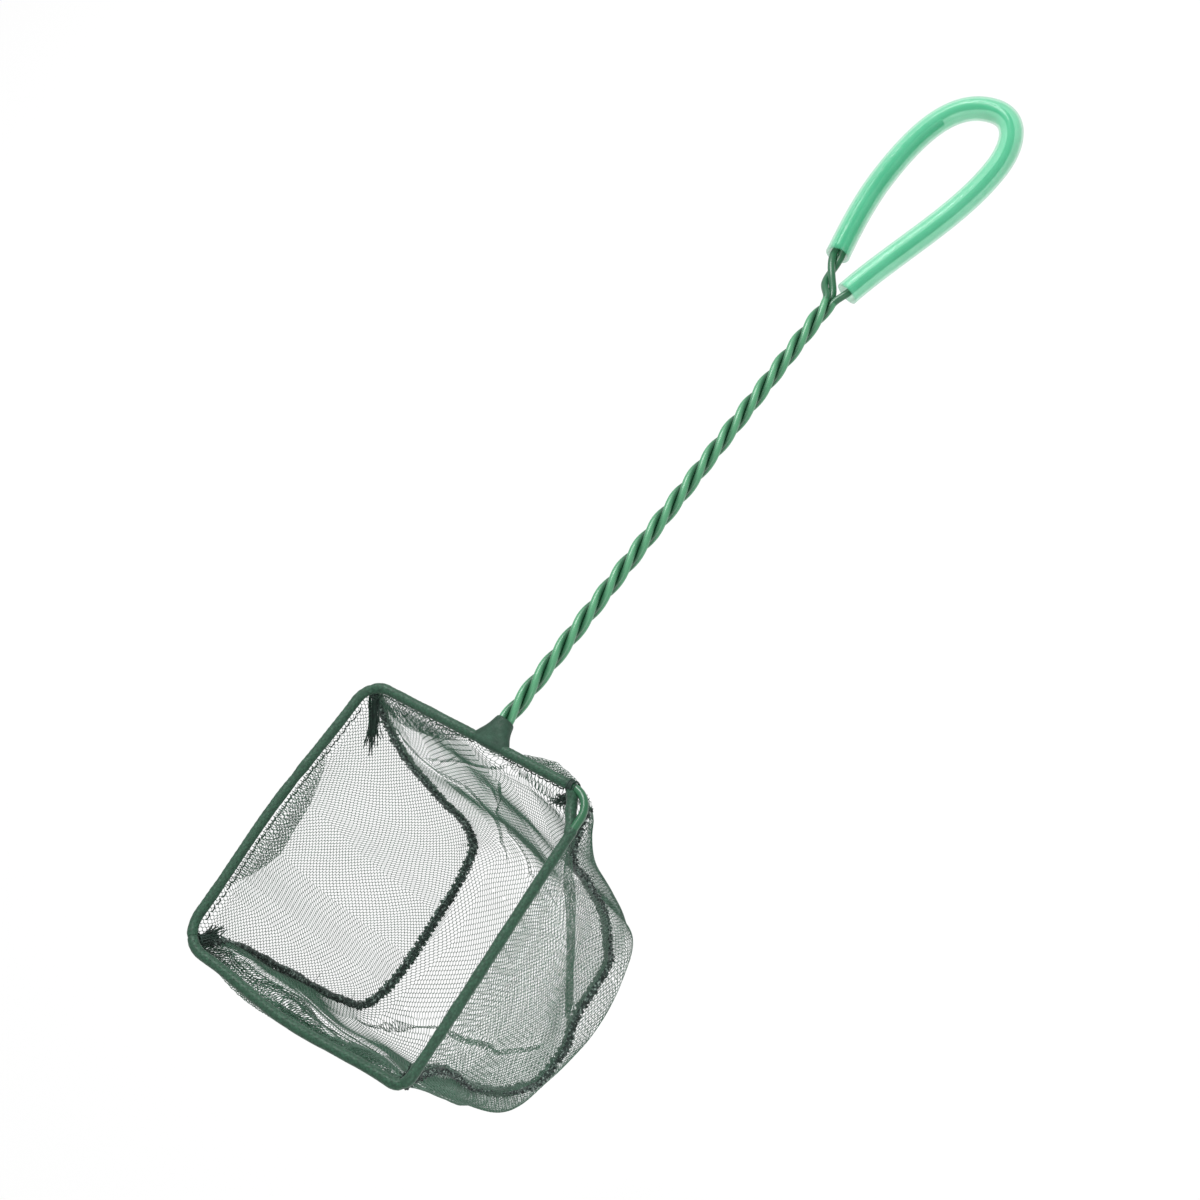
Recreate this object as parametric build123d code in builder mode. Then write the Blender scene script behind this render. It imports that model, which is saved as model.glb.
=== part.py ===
from build123d import *
import os
from math import cos, dist, hypot, pi, radians, sin, sqrt, tan

# A hand net for aquarium fish: one coated wire bent into a mouth, twisted into a shaft and closed
# in a tubed hand loop, with a sewn net bag hemmed round the mouth.
# Millimetres. The origin is in the eye of the hand loop, on the line of the shaft.
# +Y runs along the handle, away from the bag, +Z comes out of the mouth, and the bag hangs down.

os.makedirs("parts", exist_ok=True)

# Wire
wire_diameter = 1.8
wire_sides = 6
strand_gap = 0.5

# Shaft: three strands with a left-hand lay
shaft_length = 139.0
shaft_turns = 6
shaft_lean = 3.0
steps_per_turn = 4

# Hand loop, measured from the top of the shaft: across to the right, along away from the mouth
eye_reach = 45.0
loop_length = 74.0
loop_apex_across = 4.2
left_bulge = 10.7
left_bulge_along = 43.0
right_bulge = 15.7
right_bulge_along = 57.0
left_end_across = 7.2
left_end_along = 16.1
left_end_heading = -12.0
right_end_across = 2.9
right_end_along = 5.3
right_end_heading = 193.0
leg_knee_across = 4.0
leg_knee_along = 6.0
leg_knee_heading = -30.0
leg_turns = 0.75
leg_steps = 6
tail_reach = 68.0
tail_steps = 6

# Grip tube
tube_wall = 0.75
tube_clearance = 0.2
tube_sides = 8

# Mouth
mouth_width = 70.0
mouth_length = 76.5
handle_left_radius = 6.0
handle_right_radius = 6.0
far_right_radius = 5.0
far_left_radius = 8.0

# Yoke, where the shaft meets the mouth
yoke_offset = 3.7
yoke_rise = 6.5
yoke_spread = 5.0
sleeve_wall = 0.5
sleeve_clearance = 0.1
sleeve_collar = 2.5
sleeve_skirt = 1.6
sleeve_sides = 16

# Net bag
bag_depth = 77.0
floor_width = 53.0
floor_length = 46.5
floor_setback = 11.5
fold_radius = 5.0
net_thickness = 0.6
cloth_gap = 0.2
net_columns = 6
net_rows = 6
floor_rows = 4
net_bar = 1.5
rim_band = 5.0

# Hem, stitching, seams and tacks
hem_wall = 0.5
hem_clearance = 0.2
hem_end_gap = 1.0
hem_sides = 10
rim_gap = 0.35
thread_diameter = 0.5
thread_sides = 6
thread_gap = 0.1
stitch_drop = 0.7
seam_diameter = 1.8
seam_sides = 6
seam_gap = 0.15
tack_diameter = 3.0
tack_height = 2.4
tack_gap = 0.15
tack_bevel = 0.5
tack_sides = 10

# Worked out from the sizes above
wire_radius = wire_diameter / 2
rope_radius = (wire_diameter + strand_gap) / sqrt(3)
pair_radius = rope_radius * sqrt(3) / 2
tube_bore = 2 * (pair_radius + wire_radius + tube_clearance)
tube_diameter = tube_bore + 2 * tube_wall
hem_radius = wire_radius + hem_clearance + hem_wall
rim_drop = hem_radius + rim_gap
tack_top = wire_radius + tack_gap
tack_bottom = tack_top + tack_height
seam_top = tack_bottom + seam_gap + seam_diameter / 4
seam_room = seam_diameter / 2 + seam_gap

# The shaft's own frame: x across, y along, with the loop's sizes measured from the top of the shaft
shaft = Plane(origin=(0, 0, 0), x_dir=(cos(radians(shaft_lean)), -sin(radians(shaft_lean)), 0), z_dir=(0, 0, 1))
up = Vector(0, 0, 1)


def on_shaft(across, along, height=0.0):
    return shaft.from_local_coords(Vector(across, along - eye_reach, height))


def shaft_way(heading):
    turn = radians(heading)
    return shaft.from_local_coords(Vector(sin(turn), cos(turn), 0))


yoke = on_shaft(0, -shaft_length)
mouth_x = yoke.X - yoke_offset
handle_y = yoke.Y - yoke_rise
far_y = handle_y - mouth_length
left_x = mouth_x - mouth_width / 2
right_x = mouth_x + mouth_width / 2


def trace_route(stations):
    """Join stations, each a point and a direction, by straight runs and pairs of tangent arcs."""
    for (start, start_way), (end, end_way) in zip(stations, stations[1:]):
        chord = end - start
        run = chord.normalized()
        if run.dot(start_way) > 0.999999 and run.dot(end_way) > 0.999999:
            Line(start, end)
            continue
        square = 2 * (1 - start_way.dot(end_way))
        linear = 2 * chord.dot(start_way + end_way)
        reach = 2 * chord.dot(chord) / (linear + sqrt(linear**2 + 4 * square * chord.dot(chord)))
        middle = (start + start_way * reach + end - end_way * reach) * 0.5
        first = TangentArc(start, middle, tangent=start_way)
        TangentArc(middle, end, tangent=first % 1)


def strand(phase, climb):
    """A station of one strand, at a height above the foot of the shaft."""
    rate = 2 * pi * shaft_turns / shaft_length
    angle = radians(phase) + rate * climb
    place = on_shaft(rope_radius * cos(angle), climb - shaft_length, rope_radius * sin(angle))
    way = Vector(-rope_radius * rate * sin(angle), 1, rope_radius * rate * cos(angle)).normalized()
    return place, shaft.from_local_coords(way)


def strand_stations(phase):
    count = shaft_turns * steps_per_turn
    return [strand(phase, shaft_length * step / count) for step in range(count + 1)]


def backwards(stations):
    return [(place, way * -1) for place, way in reversed(stations)]


# The line of the left leg and the hand loop
leg_stations = [
    (on_shaft(-rope_radius / 2, 0), shaft_way(0)),
    (on_shaft(-leg_knee_across, leg_knee_along), shaft_way(leg_knee_heading)),
]
loop_stations = [
    (on_shaft(-left_end_across, left_end_along), shaft_way(left_end_heading)),
    (on_shaft(-left_bulge, left_bulge_along), shaft_way(0)),
    (on_shaft(loop_apex_across, loop_length), shaft_way(90)),
    (on_shaft(right_bulge, right_bulge_along), shaft_way(180)),
    (on_shaft(right_end_across, right_end_along), shaft_way(right_end_heading)),
]
with BuildLine() as leg_line:
    trace_route(leg_stations + loop_stations[:1])
with BuildLine() as loop_line:
    trace_route(leg_stations + loop_stations)
leg_length = leg_line.wire().length
loop_wire = loop_line.wire()


def beside_leg(phase, length):
    """A point on one of the two strands that twist up the left leg and lie side by side in the tube."""
    twist = 2 * pi * leg_turns * min(length / leg_length, 1)
    angle = radians(phase) + twist
    centre = loop_wire.position_at(length, position_mode=PositionMode.LENGTH)
    across = loop_wire.tangent_at(length, position_mode=PositionMode.LENGTH).cross(up)
    return centre + across * (pair_radius * cos(angle)) + up * (pair_radius * sin(angle))


def pair_stations(phase):
    lengths = [leg_length * step / leg_steps for step in range(1, leg_steps + 1)]
    lengths += [leg_length + (tail_reach - leg_length) * step / tail_steps for step in range(1, tail_steps + 1)]
    probe = wire_diameter / 100
    return [
        (beside_leg(phase, length), (beside_leg(phase, length + probe) - beside_leg(phase, length - probe)).normalized())
        for length in lengths
    ]


# The mouth, from the yoke's right to its left
to_right, to_left = Vector(1, 0, 0), Vector(-1, 0, 0)
to_loop, to_far = Vector(0, 1, 0), Vector(0, -1, 0)
corners = [
    ("handle_right", Vector(right_x, handle_y, 0), to_right, to_far, handle_right_radius),
    ("far_right", Vector(right_x, far_y, 0), to_far, to_left, far_right_radius),
    ("far_left", Vector(left_x, far_y, 0), to_left, to_loop, far_left_radius),
    ("handle_left", Vector(left_x, handle_y, 0), to_loop, to_right, handle_left_radius),
]
right_run = Vector(yoke.X + yoke_spread, handle_y, 0)
left_run = Vector(yoke.X - yoke_spread, handle_y, 0)
mouth_stations = [(right_run, to_right)]
for name, corner, way_in, way_out, radius in corners:
    mouth_stations += [(corner - way_in * radius, way_in), (corner + way_out * radius, way_out)]
mouth_stations += [(left_run, to_right)]

# The whole wire, from its cut end in the yoke to its cut end in the tube
first_strand = strand_stations(240)
second_strand = strand_stations(0)
third_strand = strand_stations(120)
wire_stations = (
    first_strand
    + pair_stations(270)
    + loop_stations[2:]
    + backwards(second_strand)
    + mouth_stations
    + third_strand
    + pair_stations(90)
)
with BuildLine() as wire_line:
    trace_route(wire_stations)
with BuildSketch(Plane(origin=wire_stations[0][0], z_dir=wire_stations[0][1])) as wire_section:
    RegularPolygon(wire_radius, wire_sides)
with BuildPart() as wire:
    sweep(sections=wire_section.sketch, path=wire_line.wire(), clean=False)
wire.part.label = "wire"
export_step(wire.part, "parts/wire.step")

# The wire's least gap to itself, on points along its line
wire_path = wire_line.wire()
point_count = int(wire_path.length / (wire_diameter / 2))
points = [tuple(wire_path.position_at(step / point_count)) for step in range(point_count + 1)]
apart = 8
least_gap = min(
    dist(points[here], points[there])
    for here in range(len(points))
    for there in range(here + apart, len(points))
)
print("wire length", round(wire_path.length, 1), "least gap to itself", round(least_gap - wire_diameter, 2))

# Grip tube over the loop
with BuildPart() as grip_tube:
    with BuildLine() as tube_line:
        trace_route(loop_stations)
    with BuildSketch(Plane(origin=loop_stations[0][0], z_dir=loop_stations[0][1])):
        RegularPolygon(tube_diameter / 2, tube_sides)
        RegularPolygon(tube_bore / 2, tube_sides, major_radius=False, mode=Mode.SUBTRACT)
    sweep(clean=False)
grip_tube.part.label = "grip_tube"
export_step(grip_tube.part, "parts/grip_tube.step")

# Yoke sleeve, moulded round the strands and the two runs that leave it
yoke_routes = [
    first_strand[: steps_per_turn + 1],
    backwards(second_strand[: steps_per_turn + 1]) + mouth_stations[:2],
    mouth_stations[-2:] + third_strand[: steps_per_turn + 1],
]
collar_radius = rope_radius + wire_radius + sleeve_clearance + sleeve_wall
skirt_depth = wire_radius + sleeve_clearance + sleeve_wall
skirt_plane = Plane(origin=(yoke.X, handle_y - sleeve_skirt, 0), x_dir=(1, 0, 0), z_dir=(0, 1, 0))
collar_plane = Plane(origin=on_shaft(0, sleeve_collar - shaft_length), x_dir=shaft.x_dir, z_dir=shaft.y_dir)
with BuildPart() as yoke_sleeve:
    for plane, half_width, half_depth in (
        (skirt_plane, yoke_spread, skirt_depth),
        (collar_plane, collar_radius, collar_radius),
    ):
        with BuildSketch(plane):
            steps = [2 * pi * step / sleeve_sides for step in range(sleeve_sides)]
            Polygon(*[(half_width * cos(step), half_depth * sin(step)) for step in steps], align=None)
    loft(ruled=True)
    for route in yoke_routes:
        with BuildLine() as channel_line:
            trace_route(route)
        with BuildSketch(Plane(origin=route[0][0], z_dir=route[0][1])) as channel_section:
            RegularPolygon(wire_radius + sleeve_clearance, wire_sides, major_radius=False)
        sweep(sections=channel_section.sketch, path=channel_line.wire(), mode=Mode.SUBTRACT)
yoke_sleeve.part.label = "yoke_sleeve"
export_step(yoke_sleeve.part, "parts/yoke_sleeve.step")

# Corner tacks: knots of thread under the bends of the wire
tack_points = {}
for name, corner, way_in, way_out, radius in corners:
    inward = (way_out - way_in) * (radius * (1 - sqrt(0.5)))
    tack_points[name] = corner + inward
for name, point in tack_points.items():
    with BuildPart() as tack:
        with BuildSketch(Plane(origin=(point.X, point.Y, -tack_bottom))):
            RegularPolygon(tack_diameter / 2, tack_sides)
        extrude(amount=tack_height)
        chamfer(tack.faces().filter_by(Axis.Z).edges(), tack_bevel)
    tack.part.label = f"{name}_tack"
    export_step(tack.part, f"parts/{name}_tack.step")


def clear_tacks():
    """Notch the cloth of the active part round the tacks."""
    for _, corner, _, _, radius in corners:
        reach = radius * (1 - sqrt(0.5)) + tack_diameter / 2 + cloth_gap
        with Locations(corner):
            Box(2 * reach, 2 * reach, 2 * (tack_bottom + cloth_gap), mode=Mode.SUBTRACT)


def open_net(plane, low, high, rows):
    """Open the active part's cloth in a grid. Its low and high edges are each a start, an end and a level."""

    def knot(column, row, aside, above):
        share = row / rows + above / (high[2] - low[2])
        start, end, level = [below + (top - below) * share for below, top in zip(low, high)]
        return start + (end - start) * column / net_columns + aside, level

    bar = net_bar / 2
    with BuildSketch(plane) as openings:
        for row in range(rows):
            for column in range(net_columns):
                Polygon(
                    knot(column, row, bar, bar),
                    knot(column + 1, row, -bar, bar),
                    knot(column + 1, row + 1, -bar, -bar),
                    knot(column, row + 1, bar, -bar),
                    align=None,
                )
    extrude(openings.sketch, amount=net_thickness, both=True, mode=Mode.SUBTRACT)


# Hem casings round the straight runs of the mouth, and the stitching under each
taper = (mouth_width - floor_width) / 2
far_setback = mouth_length - floor_length - floor_setback
hems = [
    ("left_hem", Vector(left_x, handle_y - handle_left_radius, 0), Vector(left_x, far_y + far_left_radius, 0)),
    ("right_hem", Vector(right_x, far_y + far_right_radius, 0), Vector(right_x, handle_y - handle_right_radius, 0)),
    ("far_hem", Vector(left_x + far_left_radius, far_y, 0), Vector(right_x - far_right_radius, far_y, 0)),
    ("handle_hem_right", Vector(right_x - handle_right_radius, handle_y, 0), right_run),
    ("handle_hem_left", left_run, Vector(left_x + handle_left_radius, handle_y, 0)),
]
wall_run = {"left_hem": taper, "right_hem": taper, "far_hem": far_setback}
for name, start, end in hems:
    way = (end - start).normalized()
    first, last = start + way * hem_end_gap, end - way * hem_end_gap
    with BuildPart() as hem:
        with BuildSketch(Plane(origin=first, z_dir=way)):
            RegularPolygon(hem_radius, hem_sides)
            RegularPolygon(hem_radius - hem_wall, hem_sides, mode=Mode.SUBTRACT)
        extrude(amount=(last - first).length)
    hem.part.label = name
    export_step(hem.part, f"parts/{name}.step")

    inner = up.cross(way)
    lean = wall_run.get(name, floor_setback) / bag_depth
    drop = rim_drop + stitch_drop
    stand_off = net_thickness / 2 + thread_gap + thread_diameter / 2
    into_bag = inner * (lean * drop + stand_off * hypot(1, lean)) - up * drop
    with BuildPart() as stitching:
        with BuildSketch(Plane(origin=first + into_bag, z_dir=way)):
            RegularPolygon(thread_diameter / 2, thread_sides)
        extrude(amount=(last - first).length)
    stitching.part.label = name.replace("hem", "stitching")
    export_step(stitching.part, f"parts/{stitching.part.label}.step")

# Centre strip of the net: handle wall, floor and far wall, cut apart where its two folds reach the floor
floor_handle = (handle_y - floor_setback, -bag_depth)
floor_far = (handle_y - floor_setback - floor_length, -bag_depth)
rim_share = rim_drop / bag_depth
rim_handle = (handle_y - floor_setback * rim_share, -rim_drop)
rim_far = (far_y + far_setback * rim_share, -rim_drop)
strip_plane = Plane(origin=(mouth_x, 0, 0), x_dir=(0, 1, 0), z_dir=(1, 0, 0))
strip_front = Plane(origin=(mouth_x, handle_y, 0), x_dir=(1, 0, 0), z_dir=(0, -1, 0))
rim_half = mouth_width / 2 - seam_room
floor_half = floor_width / 2 - seam_room
below_floor = bag_depth + net_thickness
with BuildPart() as strip:
    with BuildSketch(strip_plane):
        with BuildLine():
            FilletPolyline(rim_handle, floor_handle, floor_far, rim_far, radius=fold_radius)
        trace(line_width=net_thickness)
    extrude(amount=mouth_width, both=True)
    with BuildSketch(strip_front.offset(-mouth_length)) as strip_taper:
        with BuildLine():
            lower_half = floor_half - taper * net_thickness / bag_depth
            Polyline(
                (-rim_half, 0), (rim_half, 0), (lower_half, -below_floor), (-lower_half, -below_floor), close=True
            )
        make_face()
    extrude(amount=3 * mouth_length, mode=Mode.INTERSECT)
    clear_tacks()


def fold_run(fold, rim):
    """How far a fold's bend reaches from its corner."""
    climb = Vector(0, rim[0] - fold[0], rim[1] - fold[1])
    outward = Vector(0, rim[0] - fold[0], 0)
    return fold_radius * tan(radians(climb.get_angle(outward)) / 2)


def floor_edge(fold, rim, inset):
    """The upright plane where a fold reaches the floor, moved in from there by an inset."""
    outward = Vector(0, rim[0] - fold[0], 0).normalized()
    return Plane(origin=Vector(mouth_x, *fold) - outward * (fold_run(fold, rim) + inset), z_dir=outward)


half_gap = cloth_gap / 2
for name, fold, rim in (("handle_wall", floor_handle, rim_handle), ("far_wall", floor_far, rim_far)):
    climb = Vector(0, rim[0] - fold[0], rim[1] - fold[1]).normalized()
    wall_plane = Plane(origin=(mouth_x, *fold), x_dir=(1, 0, 0), z_dir=Vector(1, 0, 0).cross(climb))
    low_level = fold_run(fold, rim)
    high_level = (bag_depth - rim_band) / climb.Z
    low_half = floor_half + taper * low_level * climb.Z / bag_depth
    high_half = floor_half + taper * (bag_depth - rim_band) / bag_depth
    with BuildPart() as wall:
        add(strip.part)
        split(bisect_by=floor_edge(fold, rim, -half_gap), keep=Keep.TOP)
        open_net(wall_plane, (-low_half, low_half, low_level), (-high_half, high_half, high_level), net_rows)
    wall.part.label = name
    export_step(wall.part, f"parts/{name}.step")
with BuildPart() as net_floor:
    add(strip.part)
    split(bisect_by=floor_edge(floor_handle, rim_handle, half_gap), keep=Keep.BOTTOM)
    split(bisect_by=floor_edge(floor_far, rim_far, half_gap), keep=Keep.BOTTOM)
    open_net(
        Plane(origin=(mouth_x, 0, -bag_depth)),
        (-floor_half, floor_half, floor_far[0] + fold_run(floor_far, rim_far)),
        (-floor_half, floor_half, floor_handle[0] - fold_run(floor_handle, rim_handle)),
        floor_rows,
    )
net_floor.part.label = "net_floor"
export_step(net_floor.part, "parts/net_floor.step")

# Side panels and the seams round them, each pair in one leaning plane
for side, edge_x, sign in (("left", left_x, -1), ("right", right_x, 1)):
    climb = Vector(sign * taper, 0, bag_depth).normalized()
    panel_plane = Plane(origin=(edge_x, 0, 0), x_dir=(0, 1, 0), z_dir=Vector(0, 1, 0).cross(climb))
    slant = hypot(taper, bag_depth) / bag_depth
    low = -bag_depth * slant
    rim = -rim_drop * slant
    with BuildPart() as panel:
        with BuildSketch(panel_plane):
            with BuildLine() as outline:
                FilletPolyline(
                    (handle_y, 0), (floor_handle[0], low), (floor_far[0], low), (far_y, 0), radius=fold_radius
                )
                Line(outline.line @ 1, outline.line @ 0)
            make_face()
            offset(amount=-seam_room)
            with BuildLine():
                Polyline((far_y, 0), (handle_y, 0), (handle_y, rim), (far_y, rim), close=True)
            make_face(mode=Mode.SUBTRACT)
        extrude(amount=net_thickness / 2, both=True)
        clear_tacks()
        band = rim_band / bag_depth
        open_net(
            panel_plane,
            (floor_far[0] + seam_room, floor_handle[0] - seam_room, low + seam_room + fold_radius / 2),
            (
                far_y + far_setback * band + seam_room,
                handle_y - floor_setback * band - seam_room,
                low * band,
            ),
            net_rows,
        )
    panel.part.label = f"{side}_panel"
    export_step(panel.part, f"parts/{side}_panel.step")

    top = -seam_top * slant
    top_share = seam_top / bag_depth
    top_handle = handle_y - floor_setback * top_share
    top_far = far_y + far_setback * top_share
    with BuildLine(panel_plane) as seam_line:
        FilletPolyline(
            (top_handle, top), (floor_handle[0], low), (floor_far[0], low), (top_far, top), radius=fold_radius
        )
    seam_wire = seam_line.wire()
    with BuildSketch(Plane(origin=seam_wire @ 0, z_dir=seam_wire % 0)) as seam_section:
        RegularPolygon(seam_diameter / 2, seam_sides)
    with BuildPart() as seam:
        sweep(sections=seam_section.sketch, path=seam_wire)
    seam.part.label = f"{side}_seam"
    export_step(seam.part, f"parts/{side}_seam.step")
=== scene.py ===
import math
import random

import bmesh
import bpy
import numpy as np
from mathutils import Matrix, Vector


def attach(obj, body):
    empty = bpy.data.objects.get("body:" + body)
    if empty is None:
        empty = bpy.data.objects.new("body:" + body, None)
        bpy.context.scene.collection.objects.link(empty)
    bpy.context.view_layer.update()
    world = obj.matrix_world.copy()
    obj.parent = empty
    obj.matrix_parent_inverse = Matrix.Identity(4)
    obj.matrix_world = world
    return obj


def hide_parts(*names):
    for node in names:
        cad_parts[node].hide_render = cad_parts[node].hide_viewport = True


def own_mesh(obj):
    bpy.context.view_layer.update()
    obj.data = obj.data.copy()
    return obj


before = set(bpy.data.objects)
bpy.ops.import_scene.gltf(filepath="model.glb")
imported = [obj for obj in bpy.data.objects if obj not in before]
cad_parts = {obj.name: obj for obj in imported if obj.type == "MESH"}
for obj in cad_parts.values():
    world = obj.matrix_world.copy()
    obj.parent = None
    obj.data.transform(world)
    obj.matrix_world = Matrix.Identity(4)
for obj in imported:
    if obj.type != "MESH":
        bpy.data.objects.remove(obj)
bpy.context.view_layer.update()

# Sizes in millimetres, in the part's own axes
mm = 0.001
mouth_x = -13.33
handle_y = -190.25
mouth_width = 70.0
mouth_length = 76.5
mouth_origin = np.array([mouth_x, handle_y, 0.0])
up = np.array([0.0, 0.0, 1.0])

wire_radius = 1.0
rope_radius = 1.17
pair_radius = 1.02
shaft_length = 139.0
shaft_turns = 6
shaft_lean = math.radians(3.0)
eye_reach = 45.0
far_bow = 1.6
left_bow = 1.2
yoke_spread = 5.0
leg_turns = 0.75
tail_reach = 68.0
# Level of the painted groove shade for the wire outside the shaft, where it takes the plain middle
# colour
plain_wire_shade_level = 0.72
tube_radius = 2.66
tube_wall = 0.6
left_hose_lip = 1.5
right_hose_lip = 0.8
collar_height = 0.4
skirt_drop = 1.4
hem_radius = 1.25
thread_radius = 0.077
slack_thread = 0.071
close_thread = 0.09
wind_radius = 0.21
fray_radius = 0.08
stitch_radius = 0.17
knot_radius = 0.26
tail_radius = 0.15
binding_radius = 0.2
stitch_pitch = 2.1
hem_wave = 3
knot_loops = 10
stray_tails = 5
hanging_tails = 36
under_sleeve = 1.2
knit_spacing = 0.54
knit_run = 0.52
knit_slant = 0.32
narrow_crease = 1.5
edge_margin = 0.2
fold_overlap = 0.5

# Seeds of the random draws
left_seam_seed = 11
right_seam_seed = 12
gather_seed = 20
stitch_seed = 40
knot_seed = 70
binding_seed = 80


# Lines

def unit(vector):
    return vector / np.linalg.norm(vector, axis=-1, keepdims=True)


def between(stations, spacing):
    """A smooth line through stations, each a point and a direction."""
    pieces = []
    for (start, start_way), (end, end_way) in zip(stations, stations[1:]):
        chord = np.linalg.norm(end - start)
        turn = math.acos(float(np.clip(np.dot(start_way, end_way), -1, 1)))
        pull = chord / math.cos(turn / 4) ** 2
        share = np.linspace(0, 1, max(2, int(chord / spacing)), endpoint=False)[:, None]
        pieces.append(
            start * (1 + 2 * share) * (1 - share) ** 2
            + start_way * pull * share * (1 - share) ** 2
            + end * share**2 * (3 - 2 * share)
            + end_way * pull * share**2 * (share - 1)
        )
    pieces.append(stations[-1][0][None, :])
    return np.concatenate(pieces)


def through(points, spacing=0.5):
    """A smooth line through points alone, evenly spaced."""
    points = np.asarray(points, float)
    ways = np.gradient(points, axis=0)
    steps = np.linalg.norm(np.diff(points, axis=0), axis=1)
    ways[1:-1] = (
        np.diff(points, axis=0)[:-1] / steps[:-1, None] * steps[1:, None]
        + np.diff(points, axis=0)[1:] / steps[1:, None] * steps[:-1, None]
    )
    line = between(list(zip(points, unit(ways))), spacing / 4)
    return evenly(line, spacing)


def lengths_along(line):
    return np.concatenate([[0], np.cumsum(np.linalg.norm(np.diff(line, axis=0), axis=1))])


def evenly(line, spacing):
    along = lengths_along(line)
    return at_lengths(line, np.linspace(0, along[-1], max(2, int(along[-1] / spacing) + 1)))


def at_lengths(line, wanted):
    return carried(line, lengths_along(line), wanted)


def carried(vectors, along, wanted):
    """Vectors given at lengths along a line, found at other lengths."""
    return np.stack([np.interp(wanted, along, vectors[:, axis]) for axis in range(3)], axis=-1)


def frames_along(line):
    """Two directions square to a line at each of its points, turning as little as they can."""
    ways = unit(np.gradient(line, axis=0))
    side = np.cross(ways[0], up)
    if np.linalg.norm(side) < 0.1:
        side = np.cross(ways[0], [1.0, 0.0, 0.0])
    sides = []
    for way in ways:
        side = side - way * np.dot(side, way)
        side = side / np.linalg.norm(side)
        sides.append(side)
    sides = np.array(sides)
    return sides, np.cross(ways, sides)


# Meshes

def place(name, mesh, material):
    piece = bpy.data.objects.new(name, mesh)
    bpy.context.scene.collection.objects.link(piece)
    piece.data.materials.clear()
    piece.data.materials.append(material)
    return piece


def section(sides):
    """A closed ring of points, the section of a strand."""
    ring = bpy.data.curves.new("section", "CURVE")
    ring.dimensions = "2D"
    spline = ring.splines.new("POLY")
    spline.points.add(sides - 1)
    for step, point in enumerate(spline.points):
        angle = 2 * math.pi * step / sides
        point.co = (math.cos(angle) * mm, math.sin(angle) * mm, 0, 1)
    spline.use_cyclic_u = True
    holder = bpy.data.objects.new("section", ring)
    bpy.context.scene.collection.objects.link(holder)
    return holder


def strands(lines, radius, sides=8, capped=True):
    """A mesh of round strands along lines in millimetres; the radius is one number or one a point."""
    curve = bpy.data.curves.new("strands", "CURVE")
    curve.dimensions = "3D"
    curve.twist_mode = "MINIMUM"
    ring = section(sides)
    curve.bevel_mode = "OBJECT"
    curve.bevel_object = ring
    curve.use_fill_caps = capped
    for index, line in enumerate(lines):
        line = np.asarray(line, float)
        spline = curve.splines.new("POLY")
        spline.points.add(len(line) - 1)
        spline.points.foreach_set("co", np.column_stack([line * mm, np.ones(len(line))]).ravel())
        sizes = radius[index] if isinstance(radius, list) else radius
        spline.points.foreach_set("radius", np.broadcast_to(sizes, len(line)).astype(float).copy())
        spline.use_smooth = True
    holder = bpy.data.objects.new("strands", curve)
    bpy.context.scene.collection.objects.link(holder)
    shown = holder.evaluated_get(bpy.context.evaluated_depsgraph_get())
    mesh = bpy.data.meshes.new_from_object(shown)
    bpy.data.objects.remove(holder)
    bpy.data.curves.remove(curve)
    bpy.data.objects.remove(ring)
    mesh.shade_smooth()
    return mesh


def joined(*meshes):
    work = bmesh.new()
    for mesh in meshes:
        work.from_mesh(mesh)
    result = bpy.data.meshes.new("joined")
    work.to_mesh(result)
    work.free()
    result.shade_smooth()
    return result


# Materials

def srgb(red, green, blue):
    values = []
    for value in (red, green, blue):
        share = value / 255
        values.append(share / 12.92 if share <= 0.04045 else ((share + 0.055) / 1.055) ** 2.4)
    return (*values, 1.0)


class Finish:
    """A material and the nodes that feed it."""

    def __init__(self, name):
        self.material = bpy.data.materials.new(name)
        self.material.use_nodes = True
        self.tree = self.material.node_tree
        self.shader = self.tree.nodes["Principled BSDF"]
        self.object_place = self.node("ShaderNodeTexCoord").outputs["Object"]

    def node(self, kind, **settings):
        made = self.tree.nodes.new(kind)
        for key, value in settings.items():
            setattr(made, key, value)
        return made

    def link(self, source, target):
        self.tree.links.new(source, target)

    def noise(self, scale, detail=4.0, roughness=0.55):
        made = self.node("ShaderNodeTexNoise")
        made.inputs["Scale"].default_value = scale
        made.inputs["Detail"].default_value = detail
        made.inputs["Roughness"].default_value = roughness
        self.link(self.object_place, made.inputs["Vector"])
        return made.outputs["Fac"]

    def cells(self, scale, feature="F1"):
        made = self.node("ShaderNodeTexVoronoi", feature=feature)
        made.inputs["Scale"].default_value = scale
        self.link(self.object_place, made.inputs["Vector"])
        return made.outputs["Distance"]

    def ramp(self, source, *stops):
        made = self.node("ShaderNodeValToRGB")
        ramp = made.color_ramp
        while len(ramp.elements) < len(stops):
            ramp.elements.new(0.5)
        for element, (position, colour) in zip(ramp.elements, stops):
            element.position = position
            element.color = colour
        self.link(source, made.inputs["Fac"])
        return made.outputs["Color"]

    def spread(self, source, low, high, from_low=0.3, from_high=0.7):
        made = self.node("ShaderNodeMapRange")
        made.inputs["From Min"].default_value = from_low
        made.inputs["From Max"].default_value = from_high
        made.inputs["To Min"].default_value = low
        made.inputs["To Max"].default_value = high
        self.link(source, made.inputs["Value"])
        return made.outputs["Result"]

    def colour(self, source):
        self.link(source, self.shader.inputs["Base Color"])

    def rough(self, source):
        self.link(source, self.shader.inputs["Roughness"])

    def bump(self, source, distance, strength=1.0):
        made = self.node("ShaderNodeBump")
        made.inputs["Distance"].default_value = distance
        made.inputs["Strength"].default_value = strength
        self.link(source, made.inputs["Height"])
        self.link(made.outputs["Normal"], self.shader.inputs["Normal"])

    def put(self, **values):
        for key, value in values.items():
            self.shader.inputs[key.replace("_", " ")].default_value = value


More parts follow.
